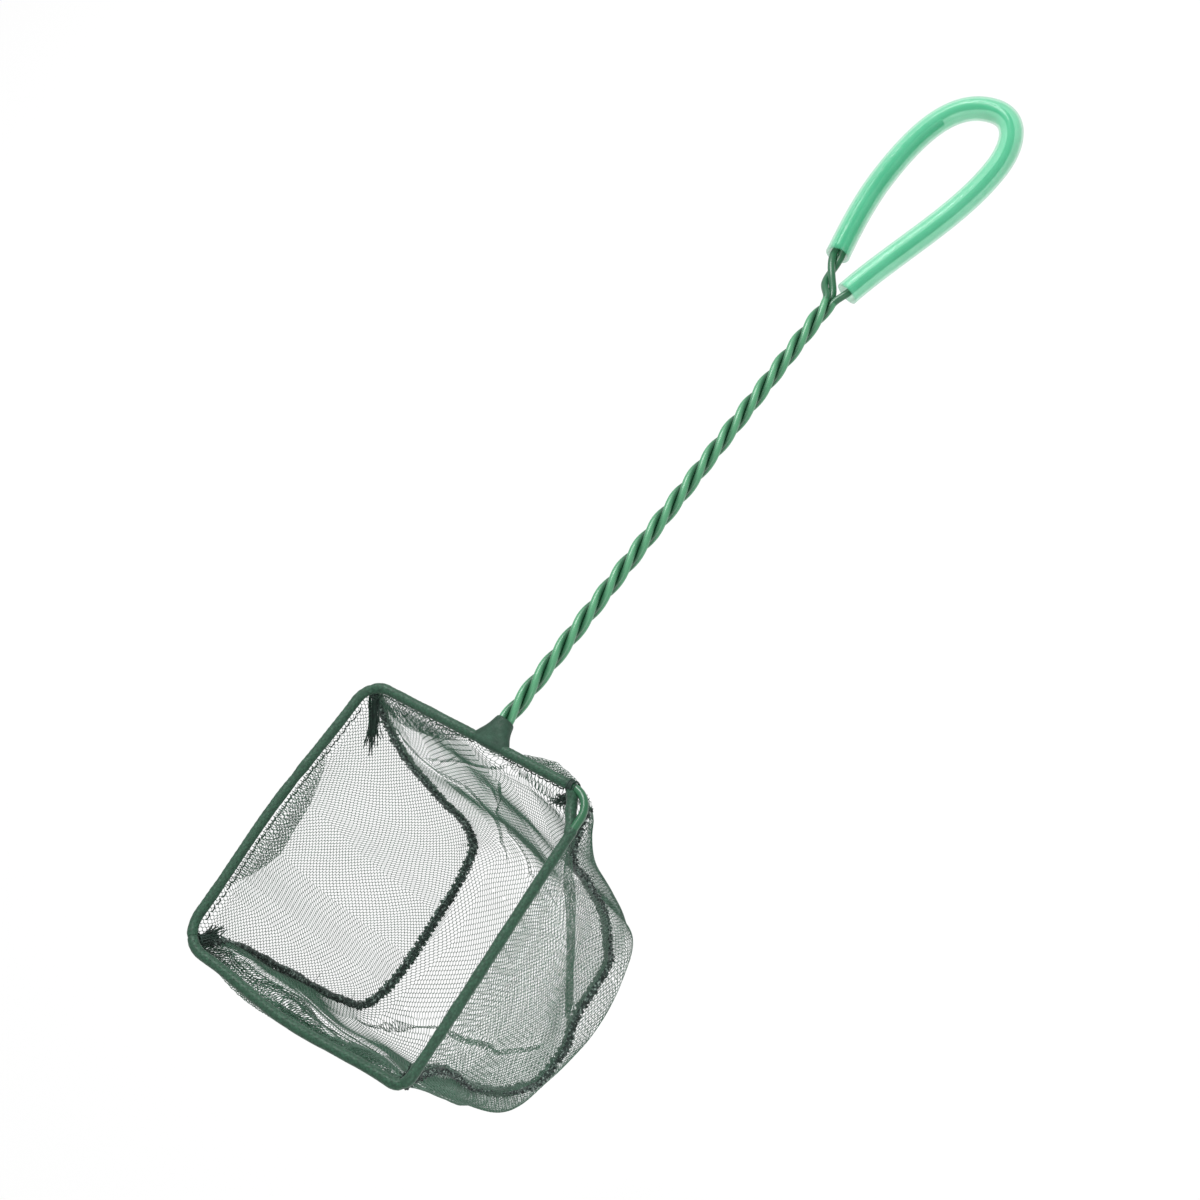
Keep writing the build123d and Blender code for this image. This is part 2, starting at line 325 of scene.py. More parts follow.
def coated_wire():
    finish = Finish("coated wire")
    # Painted shade and painted highlight: the shaft's strands darken into the grooves between them and
    # lighten on their crests
    painted_shade_levels = finish.node("ShaderNodeAttribute", attribute_name="painted_rope_shade").outputs["Fac"]
    finish.colour(finish.ramp(
        painted_shade_levels, (0.45, srgb(22, 68, 42)), (0.74, srgb(40, 102, 68)), (0.97, srgb(82, 154, 111)),
    ))
    finish.rough(finish.spread(finish.noise(900), 0.3, 0.48))
    finish.bump(finish.noise(2600, 2), 0.00005, 0.5)
    finish.put(Specular_IOR_Level=0.5, Coat_Weight=0.25, Coat_Roughness=0.18)
    return finish.material


def mint_hose():
    finish = Finish("mint hose")
    streaks = finish.noise(70, 3)
    finish.colour(finish.ramp(
        streaks, (0.3, srgb(98, 216, 166)), (0.55, srgb(112, 224, 177)), (0.8, srgb(132, 231, 190)),
    ))
    finish.rough(finish.spread(finish.noise(700), 0.1, 0.2))
    finish.put(Alpha=0.4, IOR=1.4, Specular_IOR_Level=0.6)
    return finish.material


def matt_sleeve():
    finish = Finish("matt sleeve")
    patches = finish.noise(420, 6)
    finish.colour(finish.ramp(
        patches, (0.3, srgb(26, 58, 43)), (0.55, srgb(36, 71, 54)), (0.8, srgb(47, 85, 67)),
    ))
    finish.rough(finish.spread(finish.noise(1500), 0.5, 0.75))
    finish.bump(finish.noise(1900, 4), 0.00015, 0.6)
    return finish.material


def net_thread():
    finish = Finish("net thread")
    patches = finish.noise(260, 5)
    finish.colour(finish.ramp(
        patches, (0.3, srgb(40, 86, 63)), (0.55, srgb(58, 104, 81)), (0.8, srgb(86, 132, 108)),
    ))
    finish.rough(finish.spread(finish.noise(1200), 0.42, 0.66))
    finish.bump(finish.noise(9000, 2), 0.00002, 0.5)
    finish.put(Sheen_Weight=0.15, Sheen_Roughness=0.5)
    return finish.material


def hem_cloth():
    finish = Finish("hem cloth")
    knit = finish.cells(1500)
    finish.colour(finish.ramp(
        knit, (0.1, srgb(47, 91, 68)), (0.45, srgb(38, 79, 58)), (0.85, srgb(29, 65, 47)),
    ))
    finish.rough(finish.spread(finish.noise(1300), 0.45, 0.7))
    finish.bump(knit, 0.00008, 0.5)
    finish.put(Sheen_Weight=0.2, Sheen_Roughness=0.4)
    return finish.material


def seam_thread():
    finish = Finish("seam thread")
    specks = finish.noise(1400, 5, 0.7)
    finish.colour(finish.ramp(
        specks,
        (0.3, srgb(12, 26, 22)),
        (0.5, srgb(24, 44, 38)),
        (0.56, srgb(70, 95, 86)),
        (0.63, srgb(160, 176, 168)),
    ))
    finish.rough(finish.spread(finish.noise(1600), 0.5, 0.8))
    finish.bump(finish.noise(4200, 3), 0.0001, 0.7)
    finish.put(Sheen_Weight=0.2, Sheen_Roughness=0.5)
    return finish.material


def sewing_thread():
    finish = Finish("sewing thread")
    patches = finish.noise(900, 5)
    finish.colour(finish.ramp(
        patches, (0.3, srgb(18, 36, 30)), (0.6, srgb(32, 58, 48)), (0.85, srgb(58, 92, 76)),
    ))
    finish.rough(finish.spread(finish.noise(1500), 0.45, 0.7))
    finish.bump(finish.noise(5200, 2), 0.00006, 0.6)
    return finish.material


wire_finish = coated_wire()
hose_finish = mint_hose()
sleeve_finish = matt_sleeve()
net_finish = net_thread()
hem_finish = hem_cloth()
seam_finish = seam_thread()
thread_finish = sewing_thread()


# The wire: shaft, hand loop and mouth in one run

def on_shaft(across, along, height=0.0):
    """A point given across the shaft, along it from its top and above it."""
    along = along - eye_reach
    return np.array([
        across * math.cos(shaft_lean) + along * math.sin(shaft_lean),
        along * math.cos(shaft_lean) - across * math.sin(shaft_lean),
        height,
    ])


def shaft_way(heading):
    """A direction in the loop's plane, turned some degrees from the shaft's own."""
    turn = math.radians(heading)
    return on_shaft(math.sin(turn), math.cos(turn) + eye_reach)


def strand(phase):
    """One strand of the shaft, from its foot to its top."""
    line = []
    for climb in np.linspace(0, shaft_length, shaft_turns * 28 + 1):
        angle = math.radians(phase) + 2 * math.pi * shaft_turns * climb / shaft_length
        across, height = rope_radius * math.cos(angle), rope_radius * math.sin(angle)
        line.append(on_shaft(across, climb - shaft_length, height))
    return np.array(line)


leg_stations = [
    (on_shaft(-rope_radius / 2, 0), shaft_way(0)),
    (on_shaft(-4.0, 6.0), shaft_way(-30)),
]
loop_stations = [
    (on_shaft(-7.2, 16.1), shaft_way(-12)),
    (on_shaft(-10.7, 43.0), shaft_way(0)),
    (on_shaft(4.2, 74.0), shaft_way(90)),
    (on_shaft(15.7, 57.0), shaft_way(180)),
    (on_shaft(2.9, 5.3), shaft_way(193)),
]
leg_line = evenly(between(leg_stations + loop_stations[:1], 0.2), 0.2)
leg_length = lengths_along(leg_line)[-1]
loop_line = evenly(between(leg_stations + loop_stations, 0.2), 0.2)
hose_line = evenly(between(loop_stations, 0.5), 0.8)
hose_ends = [
    loop_stations[0][0] - loop_stations[0][1] * left_hose_lip,
    loop_stations[-1][0] + loop_stations[-1][1] * right_hose_lip,
]
hose_line = np.concatenate([hose_ends[:1], hose_line, hose_ends[1:]])


def beside_leg(phase, reach):
    """One of the two strands that twist up the left leg and lie side by side in the hose."""
    wanted = np.linspace(0.6, reach, int(reach / 0.6))
    centres = at_lengths(loop_line, wanted)
    ways = unit(np.gradient(centres, axis=0))
    across = np.cross(ways, up)
    angle = math.radians(phase) + 2 * math.pi * leg_turns * np.minimum(wanted / leg_length, 1)
    aside, above = pair_radius * np.cos(angle), pair_radius * np.sin(angle)
    return centres + across * aside[:, None] + up * above[:, None]


yoke = on_shaft(0, -shaft_length)
half = mouth_width / 2
far_y = handle_y - mouth_length
to_right, to_loop = np.array([1.0, 0, 0]), np.array([0, 1.0, 0])
# Each corner of the mouth: its point, the ways into it and out of it, and its radius
corners = [
    (np.array([mouth_x + half, handle_y, 0]), to_right, -to_loop, 6.0),
    (np.array([mouth_x + half + 1.0, far_y - 0.3, 0]), -to_loop, -to_right, 3.4),
    (np.array([mouth_x - half, far_y, 0]), -to_right, to_loop, 8.0),
    (np.array([mouth_x - half, handle_y, 0]), to_loop, to_right, 6.0),
]
mouth_stations = [(np.array([yoke[0] + yoke_spread, handle_y, 0]), to_right)]
for (corner, way_in, way_out, radius), bow in zip(corners, (0, far_bow, left_bow, 0)):
    mouth_stations += [(corner - way_in * radius, way_in), (corner + way_out * radius, way_out)]
    if bow:
        side_length = mouth_width if way_out[0] else mouth_length
        mouth_stations += [(corner + way_out * side_length / 2 + way_in * bow, way_out)]
mouth_stations += [(np.array([yoke[0] - yoke_spread, handle_y, 0]), to_right)]

first, second, third = strand(240), strand(0), strand(120)
tail = beside_leg(90, tail_reach)
head = beside_leg(270, lengths_along(loop_line)[-1] * 0.5)
far_turn = between([(head[-1], unit(head[-1] - head[-2]))] + loop_stations[3:], 0.7)
far_turn = np.concatenate([far_turn, between([loop_stations[-1], (second[-1], -shaft_way(0))], 0.5)[1:]])
into_mouth = (second[0], unit(second[0] - second[1]))
out_of_mouth = (third[0], unit(third[1] - third[0]))
mouth_line = between([into_mouth] + mouth_stations + [out_of_mouth], 0.7)
wire_line = np.concatenate([
    first, head, far_turn[1:-1], second[::-1], mouth_line[1:-1], third, tail,
])
wire_mesh = strands([wire_line], wire_radius, sides=14)
# Painted shade in the shaft's grooves and painted highlight on its crests, from each point's distance to
# the rope's axis; the rest of the wire gets one plain level
spots = np.array([spot.co for spot in wire_mesh.vertices]) / mm - on_shaft(0, 0)
from_axis = np.hypot(spots @ on_shaft(1, eye_reach), spots[:, 2])
up_shaft = spots @ shaft_way(0)
in_shaft = (up_shaft > -shaft_length) & (up_shaft < 0)
painted_rope_shade = np.where(in_shaft, from_axis / (rope_radius + wire_radius), plain_wire_shade_level)
wire_mesh.attributes.new("painted_rope_shade", "FLOAT", "POINT").data.foreach_set("value", painted_rope_shade)
wire_piece = place("twisted_wire", wire_mesh, wire_finish)
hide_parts("wire")
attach(wire_piece, "frame")

# Hose over the hand loop
hose_mesh = strands([hose_line], tube_radius, sides=28, capped=False)
hose_piece = place("grip_hose", hose_mesh, hose_finish)
wall = hose_piece.modifiers.new("wall", "SOLIDIFY")
wall.thickness = tube_wall * mm
wall.offset = -1
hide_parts("grip_tube")
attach(hose_piece, "frame")

# Moulded sleeve where the shaft meets the mouth: rings from its skirt to its collar,
# each with its share of the way, its half width and its half depth
sleeve_rings = [
    (0.0, 4.4, 1.35), (0.12, 5.6, 1.75), (0.30, 5.4, 1.95), (0.5, 4.0, 2.35),
    (0.72, 3.0, 2.5), (0.94, 2.55, 2.55), (1.0, 2.2, 2.2),
]


def sleeve_mesh():
    work = bmesh.new()
    collar = on_shaft(0, collar_height - shaft_length)
    skirt = np.array([yoke[0], handle_y - skirt_drop, 0])
    rings = []
    for share, half_width, half_depth in sleeve_rings:
        centre = skirt + (collar - skirt) * share
        turn = -shaft_lean * share
        ring = bmesh.ops.create_circle(work, cap_ends=False, segments=24, radius=1.0)["verts"]
        spread = Matrix.Diagonal((half_width * mm, half_depth * mm, 1, 1))
        turned = Matrix.Rotation(turn, 4, "Z") @ Matrix.Rotation(math.pi / 2, 4, "X") @ spread
        moved = Matrix.Translation(Vector(centre * mm)) @ turned
        bmesh.ops.transform(work, matrix=moved, verts=ring)
        rings.append(ring)
    work.edges.ensure_lookup_table()
    loops = [[edge for edge in work.edges if edge.verts[0] in set(ring)] for ring in rings]
    for low, high in zip(loops, loops[1:]):
        bmesh.ops.bridge_loops(work, edges=low + high)
    for loop in (loops[0], loops[-1]):
        bmesh.ops.holes_fill(work, edges=loop, sides=0)
    bmesh.ops.recalc_face_normals(work, faces=work.faces)
    mesh = bpy.data.meshes.new("sleeve")
    work.to_mesh(mesh)
    work.free()
    mesh.shade_smooth()
    return mesh


sleeve_piece = place("moulded_sleeve", sleeve_mesh(), sleeve_finish)
rounding = sleeve_piece.modifiers.new("rounding", "SUBSURF")
rounding.levels = 2
rounding.render_levels = 2
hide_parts("yoke_sleeve")
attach(sleeve_piece, "frame")

# Seams of the bag, in mouth axes: x from the middle, y back from the handle side, z up
left_seam = through([
    (-33.3, -1.8, -3.0), (-32.8, -4.2, -13), (-31.6, -6.3, -25), (-28.8, -7.2, -48),
    (-26.4, -7.6, -66), (-25.8, -9.8, -72), (-25.4, -15.8, -74.6), (-25.2, -30, -76.3),
    (-25.1, -44, -77), (-25.3, -53.8, -76), (-25.7, -60.5, -72), (-27, -63.5, -62),
    (-30.2, -66.6, -38), (-33.0, -70.2, -14), (-32.7, -74.1, -3.0),
])
right_seam = through([
    (33.3, -1.8, -3.0), (33.6, -7.5, -4.8), (33.4, -11.7, -9), (31.9, -12.3, -24),
    (28.9, -12.8, -51), (27.2, -16.4, -66.5), (26.2, -18.4, -73.6), (25.9, -26.5, -75.4),
    (25.8, -33.1, -75.6), (26.3, -36.6, -75.6), (27.6, -41.3, -76.6), (27.2, -47, -77.2),
    (26.8, -52.8, -76.4), (26.5, -57.4, -70), (29.6, -65.2, -42), (33.0, -69.2, -12),
    (33.6, -74.6, -3.0),
])

# The outer edge on the right, where the centre strip turns the corner before it meets its seam
right_corner = through([
    (34.2, -0.9, -1.5), (34.4, -3.4, -5), (33.4, -5.4, -15), (29.6, -7.8, -47),
    (28.0, -8.6, -66), (26.8, -11.6, -79), (27.8, -20, -82.0), (29.2, -30, -82.6),
    (29.6, -38.5, -82.8), (28.6, -47.6, -82.2), (26.6, -56.5, -79.6), (27.6, -61.0, -71.5),
    (31.8, -68.4, -39), (33.4, -71.6, -18), (34.0, -75.6, -1.5),
])


def cut_at(line, point):
    """The length along a line that is nearest a point."""
    return lengths_along(line)[np.argmin(np.linalg.norm(line - np.array(point), axis=1))]


def part_of(line, low, high):
    return at_lengths(line, np.linspace(low, high, 200))


# Cloth: each panel is a flat cut with its knit drawn on it, carried to a hanging form

def fade(value, low, high):
    share = np.clip((value - low) / (high - low), 0, 1)
    return share * share * (3 - 2 * share)


def swell(value, low, high):
    """Nothing at a low and a high value, and one between them."""
    return np.sin(np.pi * np.clip((value - low) / (high - low), 0, 1))


class Hanging:
    """Cloth hung as a grid of points, with rows from its rim down and columns across."""

    def __init__(self, rows, columns=121):
        share = np.linspace(0, 1, columns)
        self.grid = np.array([at_lengths(row, share * lengths_along(row)[-1]) for row in rows])
        self.widths = np.linalg.norm(np.diff(self.grid, axis=1), axis=2).sum(1)
        falls = np.linalg.norm(np.diff(self.grid, axis=0), axis=2).mean(1)
        self.levels = np.concatenate([[0], np.cumsum(falls)])
        self.length = self.levels[-1]
        self.outs = unit(np.cross(np.gradient(self.grid, axis=1), np.gradient(self.grid, axis=0)))

    def half_width(self, down):
        return np.interp(down, self.levels, self.widths) / 2

    def hung(self, across, down, out):
        row = np.interp(down, self.levels, np.arange(len(self.levels)))
        column = np.clip(across / (2 * self.half_width(down)) + 0.5, 0, 1) * (self.grid.shape[1] - 1)
        top = np.minimum(row.astype(int), len(self.levels) - 2)
        left = np.minimum(column.astype(int), self.grid.shape[1] - 2)
        fall, over = (row - top)[:, None], (column - left)[:, None]
        found = []
        for field in (self.grid, self.outs):
            found.append(
                (field[top, left] * (1 - over) + field[top, left + 1] * over) * (1 - fall)
                + (field[top + 1, left] * (1 - over) + field[top + 1, left + 1] * over) * fall
            )
        return found[0] + found[1] * out[:, None]


def crease(flat, points, width, fold, height):
    """Pleat flat cloth along a line: it doubles back on itself there, and stands a little off."""
    points = np.asarray(points, float)
    best = np.full(len(flat), 1e9)
    shift = np.zeros((len(flat), 2))
    lift = np.zeros(len(flat))
    total = np.concatenate([[0], np.cumsum(np.linalg.norm(np.diff(points, axis=0), axis=1))])
    for start, end, length in zip(points, points[1:], total):
        size = np.linalg.norm(end - start)
        way = (end - start) / size
        aside = np.array([-way[1], way[0]])
        offset = flat - start
        along = np.clip(offset @ way, 0, size)
        gap = np.linalg.norm(offset - along[:, None] * way, axis=1)
        side = offset @ aside
        nearer = gap < best
        best = np.where(nearer, gap, best)
        reach = (length + along) / total[-1]
        bell = np.exp(-((gap / width) ** 2)) * fade(reach, 0, 0.12) * fade(1 - reach, 0, 0.12)
        shift = np.where(nearer[:, None], -aside * (side * bell * fold)[:, None], shift)
        lift = np.where(nearer, height * bell * (0.6 + 0.8 * np.clip(side / width, -1, 1)), lift)
    return shift, lift


def creased(flat, creases):
    moved = flat.copy()
    lift = np.zeros(len(flat))
    for points, width, fold, height in creases:
        shift, rise = crease(flat, points, width, fold, height)
        moved += shift
        lift += rise
    return moved, lift


def tuck(down, depth, stand):
    """Fold a hanging edge under: down by a depth, back up behind, and down again, with a crisp edge."""
    depth = np.maximum(depth, 1e-6)
    crisp = 0.7
    folded = down < 2 * depth
    climb = np.sqrt((down - depth) ** 2 + crisp**2) - crisp
    reach = np.sqrt(depth**2 + crisp**2) - crisp
    lies = np.where(folded, depth * (1 - climb / reach), down - 2 * depth)
    behind = fade(down, depth - crisp, depth + crisp)
    front = fade(down, 0, 1.5) * (1 - 0.5 * behind)
    off = np.where(folded, front, 0.5 * np.exp(-(down - 2 * depth) / 2))
    return lies, stand * off * np.minimum(depth / 2, 1)


def runs_of(inside):
    edges = np.flatnonzero(np.diff(np.concatenate([[0], inside.astype(int), [0]])))
    return list(zip(edges[::2], edges[1::2]))


def knit(width, length, inside):
    """The flat threads of a knit net: zigzags that touch their neighbours, clipped to the cut."""
    columns = int(width / 2 / knit_spacing)
    pitch = 2 * (knit_run + knit_slant)
    period = np.array([0, knit_run, knit_run + knit_slant, 2 * knit_run + knit_slant])
    turns = int(length / pitch) + 1
    downs = (np.arange(turns)[:, None] * pitch + period).ravel()
    leans = np.tile([-1.0, -1.0, 1.0, 1.0], turns)
    lines = []
    for column in range(-columns, columns + 1):
        sign = 1 if column % 2 else -1
        across = column * knit_spacing + sign * leans * (knit_spacing / 2 - thread_radius * 0.6)
        for start, end in runs_of(inside(across, downs)):
            if end - start > 2:
                lines.append(np.column_stack([across[start:end], downs[start:end]]))
    return lines


def fuller(lines, creases):
    """Lines with more points where a narrow crease crosses them."""
    narrow = [(np.asarray(line, float), width) for line, width, _, _ in creases if width < narrow_crease]
    result = []
    for line in lines:
        close = np.zeros(len(line), bool)
        for points, width in narrow:
            for start, end in zip(points, points[1:]):
                run = end - start
                share = np.clip((line - start) @ run / (run @ run), 0, 1)
                close |= np.linalg.norm(line - start - share[:, None] * run, axis=1) < 1.2 * width
        counts = np.where(close[:-1] | close[1:], 2, 1)
        index = np.repeat(np.arange(len(line) - 1), counts)
        step = np.concatenate([np.arange(count) for count in counts]) / counts[index]
        steps = line[index] + (line[index + 1] - line[index]) * step[:, None]
        result.append(np.vstack([steps, line[-1:]]))
    return result


def net_piece(name, node, lines, form, thread=thread_radius):
    """A piece of net from flat lines of thread, carried to their place by a form."""
    ends = np.cumsum([len(line) for line in lines])[:-1]
    points = np.split(form(np.concatenate(lines)) + mouth_origin, ends)
    piece = place(name, strands(points, thread, sides=3, capped=False), net_finish)
    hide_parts(node)
    return piece


# Centre strip: handle wall, floor and far wall
left_edge = np.concatenate([[(-33.6, -0.5, -1.5)], left_seam, [(-33.2, -76.0, -1.5)]])
right_edge = np.concatenate([[(34.4, -2.6, -1.6)], right_seam, [(34.2, -75.4, -1.6)]])
wall_steps, floor_steps = 69, 49
shares = np.concatenate([
    np.linspace(0, 1, wall_steps + 1)[:-1],
    np.linspace(1, 2, floor_steps + 1)[:-1],
    np.linspace(2, 3, wall_steps + 1),
])
strip_rails = []
for rail, handle_fold, far_fold in (
    (left_edge, (-25.4, -15.8, -74.6), (-25.3, -53.8, -76)),
    (right_corner, (27.8, -20, -82.0), (27.0, -55, -80)),
    (right_edge, (26.0, -21, -74.4), (26.7, -54.4, -75)),
):
    cuts = [0, cut_at(rail, handle_fold), cut_at(rail, far_fold), lengths_along(rail)[-1]]
    strip_rails.append(at_lengths(rail, np.interp(shares, range(4), cuts)))
belly_at = [0, 0.15, 0.45, 0.85, 1.1, 1.5, 2.0, 2.4, 2.85, 3]
belly_out = [0, 1.5, 2.6, 3.6, 5.0, 6.2, 5.0, 3.8, 2.4, 1.4]
strip_ways = unit(np.gradient((strip_rails[0] + strip_rails[1]) / 2, axis=0))
strip_rows = []
for share, left, corner, right, way in zip(shares, *strip_rails, strip_ways):
    belly = np.interp(share, belly_at, belly_out)
    out = unit(np.cross(corner - left, way))
    strip_rows.append(through(np.array([
        left,
        left + (corner - left) * 0.2 + out * belly * 0.8,
        left + (corner - left) * 0.5 + out * belly,
        left + (corner - left) * 0.8 + out * belly * 0.8,
        corner,
        (corner + right) / 2 + (corner - left) * 0.012,
        right,
    ]), 1.0))
strip = Hanging(strip_rows)
handle_cut = strip.levels[wall_steps]
floor_cut = strip.levels[wall_steps + floor_steps]


def from_far_rim(*places):
    """Places on the flat strip, given across it and up to its far rim."""
    return [(across, strip.length - height) for across, height in places]


# Each crease: its line on the flat cut, its width, how far it doubles back and how far it stands off
strip_creases = [
    ([(-34, 12), (-34, 18), (-31, 23.2), (-26.3, 28.7), (-19.8, 32.8),
      (-18.9, 41.1), (-21.7, 55.1), (-25, 72), (-22, 81)], 1.0, 2.3, 0.6),
    ([(-10.9, 22.6), (-9.7, 28.1), (-15, 44.5), (-21, 66),
      (-15.6, 78.1), (-8.8, 79.4), (-1, 82.5)], 0.9, 2.3, 0.6),
    ([(-2.9, 14.5), (-8, 29.8), (-14.5, 45)], 0.9, 2.3, 0.6),
    ([(-30, 23.2), (-23, 21), (-11.6, 14), (2.9, 7.4), (7.8, 8.7)], 0.9, 2.3, 0.6),
    ([(0.5, 1), (3.2, 4.7), (5.5, 8.3), (12, 9.4), (22, 10)], 1.3, 2.6, 0.8),
    (from_far_rim((-33.7, 5), (-20, 6), (-6, 7), (10, 8)), 2.4, 3.3, 0.8),
    (from_far_rim((-33.7, 8), (-18, 9.5), (0, 11), (16, 12)), 2.4, 3.3, 0.8),
    (from_far_rim((-33.7, 11), (-21.7, 12), (-14, 15), (-6, 22), (4, 34)), 2.8, 3.2, 1.0),
    (from_far_rim((-32, 15), (-18, 18), (-2, 20), (14, 24)), 2.6, 3.3, 0.8),
    (from_far_rim((-25, 28), (-4, 34), (16, 42), (28, 40)), 2.8, 3.1, 1.0),
    (from_far_rim((-27, 66), (-21, 79), (-13.5, 86), (-5.5, 88), (8, 90)), 1.3, 2.7, 0.6),
    (from_far_rim((-24, 74), (-18, 84), (-13.5, 87.6), (-5.5, 89.6)), 1.1, 2.6, 0.6),
]


def handle_tuck(across):
    """How deep the cloth is tucked under along the handle side."""
    return np.interp(across, [-36, -31, -26, -14, -4.6, 2, 8, 26, 33], [0, 8, 9, 5, 0, 0, 4.5, 4.5, 0])


def far_tuck(across):
    """How deep the cloth is tucked under along the far side."""
    return np.interp(across, [-36, -30, -12, 4, 20, 34], [3, 13, 16, 13, 6, 2])


def strip_place(flat):
    """Where the cut cloth lies across and down the hanging strip, and how far its tucks stand off."""
    across = flat[:, 0]
    down, near = tuck(flat[:, 1], handle_tuck(across), -1.1)
    rest, far = tuck(strip.length + 2 * far_tuck(across) - down, far_tuck(across), -1.3)
    return np.column_stack([across, strip.length - rest]), near + far


def strip_form(flat):
    placed, off = strip_place(flat)
    moved, lift = creased(placed, strip_creases)
    across, down = moved[:, 0], moved[:, 1]
    from_rim = np.minimum(down, strip.length - down)
    gathers = np.exp(-from_rim / 8) * fade(from_rim, 0, 2.5) * fade(across, -8, 4)
    ripple = gathers * (0.25 * np.sin(across * 0.92 + 0.6) + 0.2 * np.sin(across * 1.63 + 2.1))
    drift = 0.7 * np.sin(across * 0.11 + down * 0.07) + 0.45 * np.sin(across * 0.23 - down * 0.13 + 1.7)
    puff = 8.4 * swell(across, 0, 32) * np.exp(-(((down - 4.5) / 3.6) ** 2))
    far_puff = 4.2 * swell(across, -46, 16) * np.exp(-(((strip.length - down - 5) / 4.5) ** 2))
    out = off + lift + ripple + drift * fade(from_rim, 0, 14) + puff + far_puff
    return strip.hung(across, down, out)


def in_strip(low, high):
    """A test for the places on the flat strip that hang between two levels."""
    def inside(across, down):
        placed = strip_place(np.column_stack([across, down]))[0][:, 1]
        past_near = (low == 0) | (down > 2 * handle_tuck(across) + 1)
        before_far = (high == strip.length) | (down < far_tuck_start)
        reach = strip.length + 2 * handle_tuck(across) + 2 * far_tuck(across)
        beside = np.abs(across) <= strip.half_width(placed) - edge_margin
        return (placed >= low) & (placed <= high) & beside & past_near & before_far & (down <= reach)

    return inside


tuck_allowance = 46
far_tuck_start = 150
strip_width = 90
strip_reach = strip.length + tuck_allowance


def strip_lines(low, high):
    return fuller(knit(strip_width, strip_reach, in_strip(low, high)), strip_creases)


handle_lines = strip_lines(0, handle_cut + fold_overlap)
floor_lines = strip_lines(handle_cut, floor_cut + fold_overlap)
far_lines = strip_lines(floor_cut, strip.length)
handle_wall = net_piece("handle_net_wall", "handle_wall", handle_lines, strip_form, slack_thread)
floor_net = net_piece("net_floor_panel", "net_floor", floor_lines, strip_form)
far_wall = net_piece("far_net_wall", "far_wall", far_lines, strip_form, close_thread)


# Side panels

def panel_rows(rim, seam, low, high):
    """Rows of a four-sided hanging form, from its rim, its two seamed sides and its seamed bottom."""
    share = np.linspace(0, 1, 90)
    everything = lengths_along(seam)[-1]
    sides = [
        np.concatenate([rim[:1], part_of(seam, 0, low)]),
        np.concatenate([part_of(seam, high, everything), rim[-1:]])[::-1],
    ]
    bottom = part_of(seam, low, high)
    rim, bottom, handle_side, far_side = [
        at_lengths(line, share * lengths_along(line)[-1]) for line in (rim, bottom, *sides)
    ]
    over = share[:, None]
    rows = []
    for fall, start, end in zip(share, handle_side, far_side):
        corners_row = (rim[0] * (1 - over) + rim[-1] * over) * (1 - fall)
        corners_row = corners_row + (bottom[0] * (1 - over) + bottom[-1] * over) * fall
        rows.append(start * (1 - over) + end * over + rim * (1 - fall) + bottom * fall - corners_row)
    return rows


left_rim = through([(-34.4, -1.8, -1.5), (-35.5, -38, -1.5), (-34.4, -74.1, -1.5)])
right_rim = through([(34.4, -2.6, -1.5), (34.4, -38, -1.5), (34.4, -74.6, -1.5)])
left_low, left_high = cut_at(left_seam, (-25.8, -9.8, -72)), cut_at(left_seam, (-25.7, -60.5, -72))
left_hang = Hanging(panel_rows(left_rim, left_seam, left_low, left_high))
right_low, right_high = cut_at(right_seam, (26.2, -18.4, -73.6)), cut_at(right_seam, (26.8, -54.4, -75))
right_hang = Hanging(panel_rows(right_rim, right_seam, right_low, right_high))


def left_tuck(across):
    """How deep the pleat hangs below the left hem."""
    places = [-22, -17, -9.4, -5.2, 1, 8.3, 12.7, 18, 23.3]
    return np.interp(across, places, [0, 1, 4.2, 6.6, 7.2, 8.6, 6.3, 2.3, 0])


def left_form(flat):
    across = flat[:, 0]
    down, off = tuck(flat[:, 1], left_tuck(across), 1.6)
    middle = swell(down, 0, left_hang.length) * (1 - (across / 37) ** 2)
    gathers = np.exp(-down / 8) * fade(down, 0, 1.5)
    ribs = 0.22 * np.sin(across * 3.1 + 0.6 * np.sin(across * 0.5)) * gathers
    sway = 0.6 * np.sin(across * 0.21 + down * 0.12) * middle
    return left_hang.hung(across, down, off - 2.2 * middle + ribs + sway)


def in_left(across, down):
    lies = tuck(down, left_tuck(across), 0)[0]
    return (lies <= left_hang.length) & (np.abs(across) <= left_hang.half_width(lies) - edge_margin)


right_creases = [
    ([(-27, 3), (-25.4, 10.7), (-22.2, 18), (-15.5, 31.8),
      (-7.9, 48.8), (-1.8, 69.5), (1, 75)], 3.6, 3.0, 0.9),
    ([(22.5, 2), (21.2, 7.4), (18.2, 19.2), (16.7, 32.5)], 1.2, 2.4, 0.7),
    ([(18.6, 28.7), (16.3, 36.8), (13, 47.8), (8.9, 57.7)], 1.2, 2.4, 0.7),
]


def right_form(flat):
    moved, lift = creased(flat, right_creases)
    across, down = moved[:, 0], moved[:, 1]
    middle = swell(down, 0, right_hang.length) * (1 - (across / 38) ** 2)
    gathers = np.exp(-down / 8) * fade(down, 0, 2)
    ripple = gathers * (0.5 * np.sin(across * 0.8) + 0.3 * np.sin(across * 1.7 + 1))
    sway = 0.6 * np.sin(across * 0.16 - down * 0.11 + 0.4) * middle
    return right_hang.hung(across, down, 2.4 * middle + ripple + lift + sway)


def in_right(across, down):
    return (down <= right_hang.length) & (np.abs(across) <= right_hang.half_width(down) - edge_margin)


panel_width = 84
left_tuck_allowance = 19
left_lines = knit(panel_width, left_hang.length + left_tuck_allowance, in_left)
left_panel = net_piece("left_net_panel", "left_panel", left_lines, left_form)
right_lines = fuller(knit(panel_width, right_hang.length, in_right), right_creases)
right_panel = net_piece("right_net_panel", "right_panel", right_lines, right_form)


# Overlocked seams: threads laid to and fro across the raw edge, and loose ends

